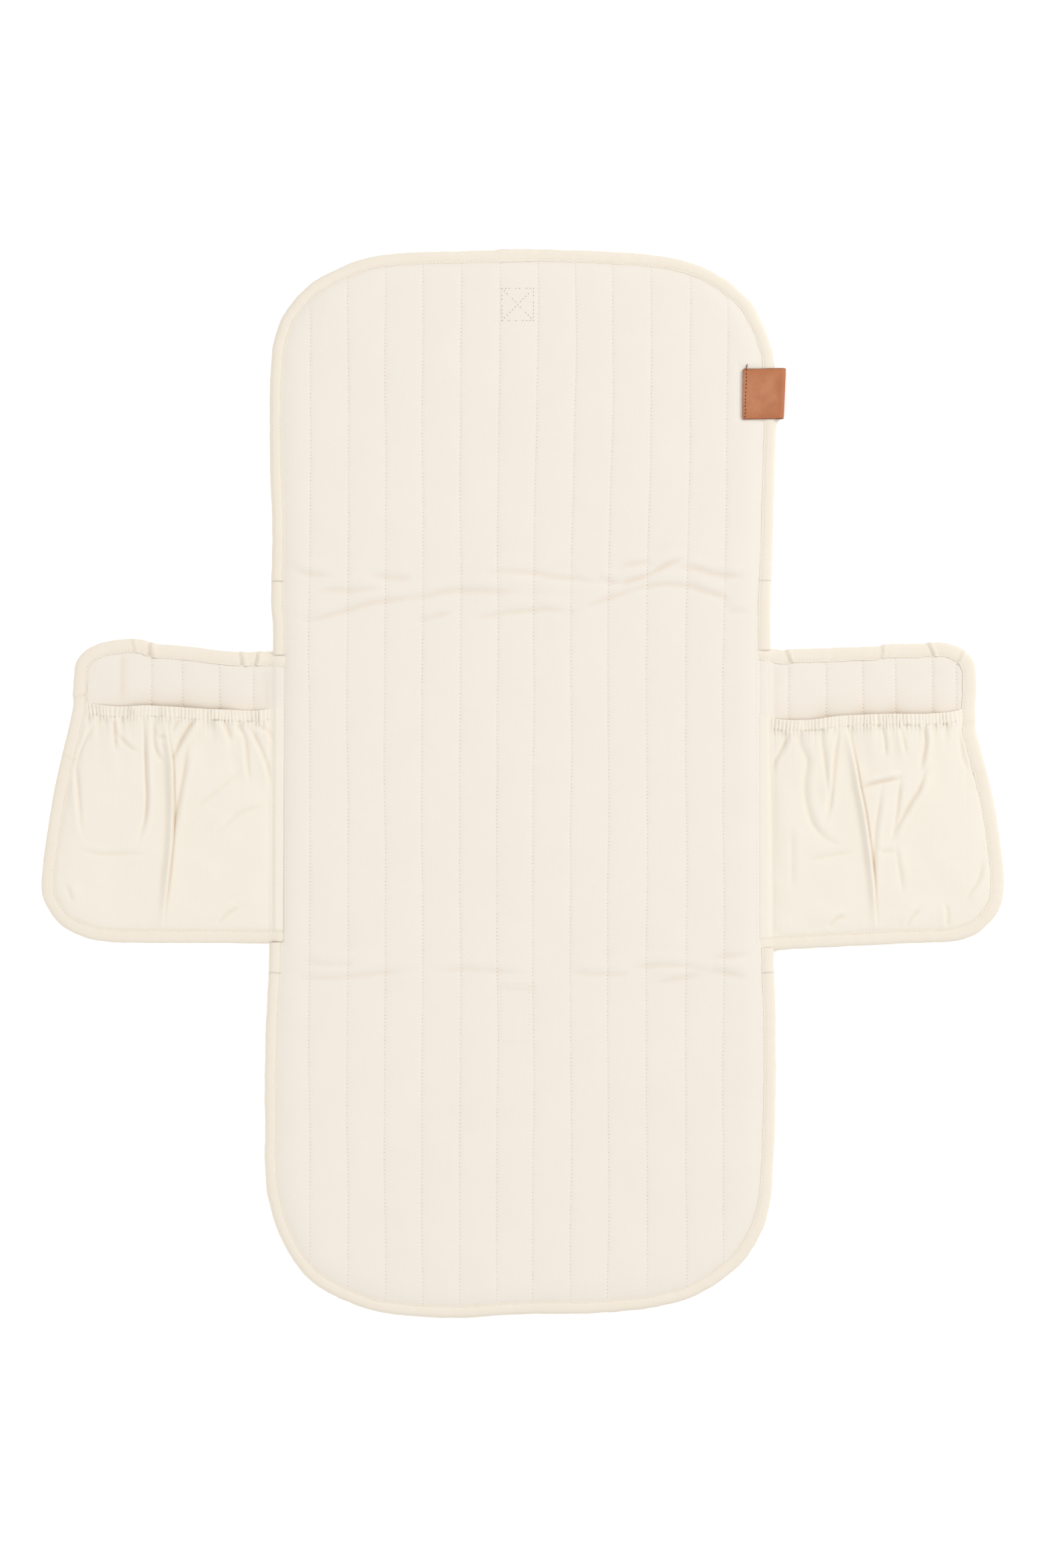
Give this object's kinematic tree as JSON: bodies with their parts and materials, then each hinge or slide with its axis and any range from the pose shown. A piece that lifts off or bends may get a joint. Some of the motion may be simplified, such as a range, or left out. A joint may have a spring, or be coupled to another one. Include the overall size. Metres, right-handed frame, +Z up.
{
  "type": "fold-up changing pad",
  "caption": "Quilted cotton baby changing pad laid flat, with elasticated pocket wings that fold in, double-creased end panels that fold over, a bound edge, a leather loop and a closing strap.",
  "frame": {"origin": "centre of the whole laid-out pad, on the floor plane under it", "axes": "+X across the pad to the wing on the same side as the leather loop, +Y along the pad to the flap end with the closing strap, +Z up from the floor"},
  "size_m": [0.652, 0.7251, 0.0098],
  "materials": {
    "cotton": "matte",
    "wadding": "matte",
    "binding": "matte",
    "elastic": "matte",
    "leather": "satin",
    "hook_tape": "matte",
    "loop_tape": "matte"
  },
  "bodies": {
    "middle_panel": {"middle_face": "cotton", "middle_wadding": "wadding", "middle_backing": "cotton", "middle_binding_left_upper": "binding", "middle_binding_left_lower": "binding", "middle_binding_right_upper": "binding", "middle_binding_right_lower": "binding", "seam_strip_left": "cotton", "seam_strip_right": "cotton"},
    "upper_spine": {"upper_spine_face": "cotton", "upper_spine_wadding": "wadding", "upper_spine_backing": "cotton", "upper_spine_binding_left": "binding", "upper_spine_binding_right": "binding"},
    "flap": {"flap_face": "cotton", "flap_wadding": "wadding", "flap_backing": "cotton", "flap_binding": "binding", "leather_loop": "leather", "strap_sewn_leaf": "leather"},
    "strap": {"strap_free_leaf": "leather", "hook_patch": "hook_tape"},
    "lower_spine": {"lower_spine_face": "cotton", "lower_spine_wadding": "wadding", "lower_spine_backing": "cotton", "lower_spine_binding_left": "binding", "lower_spine_binding_right": "binding"},
    "lower_panel": {"lower_face": "cotton", "lower_wadding": "wadding", "lower_backing": "cotton", "lower_binding": "binding", "loop_patch": "loop_tape"},
    "left_wing": {"left_wing_face": "cotton", "left_wing_wadding": "wadding", "left_wing_backing": "cotton", "left_wing_binding": "binding", "left_pocket_front": "cotton", "left_pocket_hem": "cotton", "left_pocket_elastic": "elastic"},
    "right_wing": {"right_wing_face": "cotton", "right_wing_wadding": "wadding", "right_wing_backing": "cotton", "right_wing_binding": "binding", "right_pocket_front": "cotton", "right_pocket_hem": "cotton", "right_pocket_elastic": "elastic"}
  },
  "joints": [
    {"name": "upper_fold_inner", "type": "hinge", "parent": "middle_panel", "child": "upper_spine", "pos_m": [0, 0.12771, 0.008], "axis": [1, 0, 0], "range_deg": [0, 90]},
    {"name": "upper_fold_outer", "type": "hinge", "parent": "upper_spine", "child": "flap", "pos_m": [0, 0.14751, 0.008], "axis": [1, 0, 0], "range_deg": [0, 90]},
    {"name": "lower_fold_inner", "type": "hinge", "parent": "middle_panel", "child": "lower_spine", "pos_m": [0, -0.12242, 0.008], "axis": [-1, 0, 0], "range_deg": [0, 90]},
    {"name": "lower_fold_outer", "type": "hinge", "parent": "lower_spine", "child": "lower_panel", "pos_m": [0, -0.13372, 0.008], "axis": [-1, 0, 0], "range_deg": [0, 90]},
    {"name": "left_wing_fold", "type": "hinge", "parent": "middle_panel", "child": "left_wing", "pos_m": [-0.165, 0, 0.00905], "axis": [0, 1, 0], "range_deg": [0, 180]},
    {"name": "right_wing_fold", "type": "hinge", "parent": "middle_panel", "child": "right_wing", "pos_m": [0.165, 0, 0.00905], "axis": [0, -1, 0], "range_deg": [0, 180]},
    {"name": "strap_fold", "type": "hinge", "parent": "flap", "child": "strap", "pos_m": [-0.0035, 0.3629, 0.00225], "axis": [1, 0, 0], "range_deg": [0, 187]}
  ],
  "couplings": [
    {"joint": "upper_fold_outer", "follows": "upper_fold_inner", "ratio": 1},
    {"joint": "lower_fold_outer", "follows": "lower_fold_inner", "ratio": 1}
  ]
}
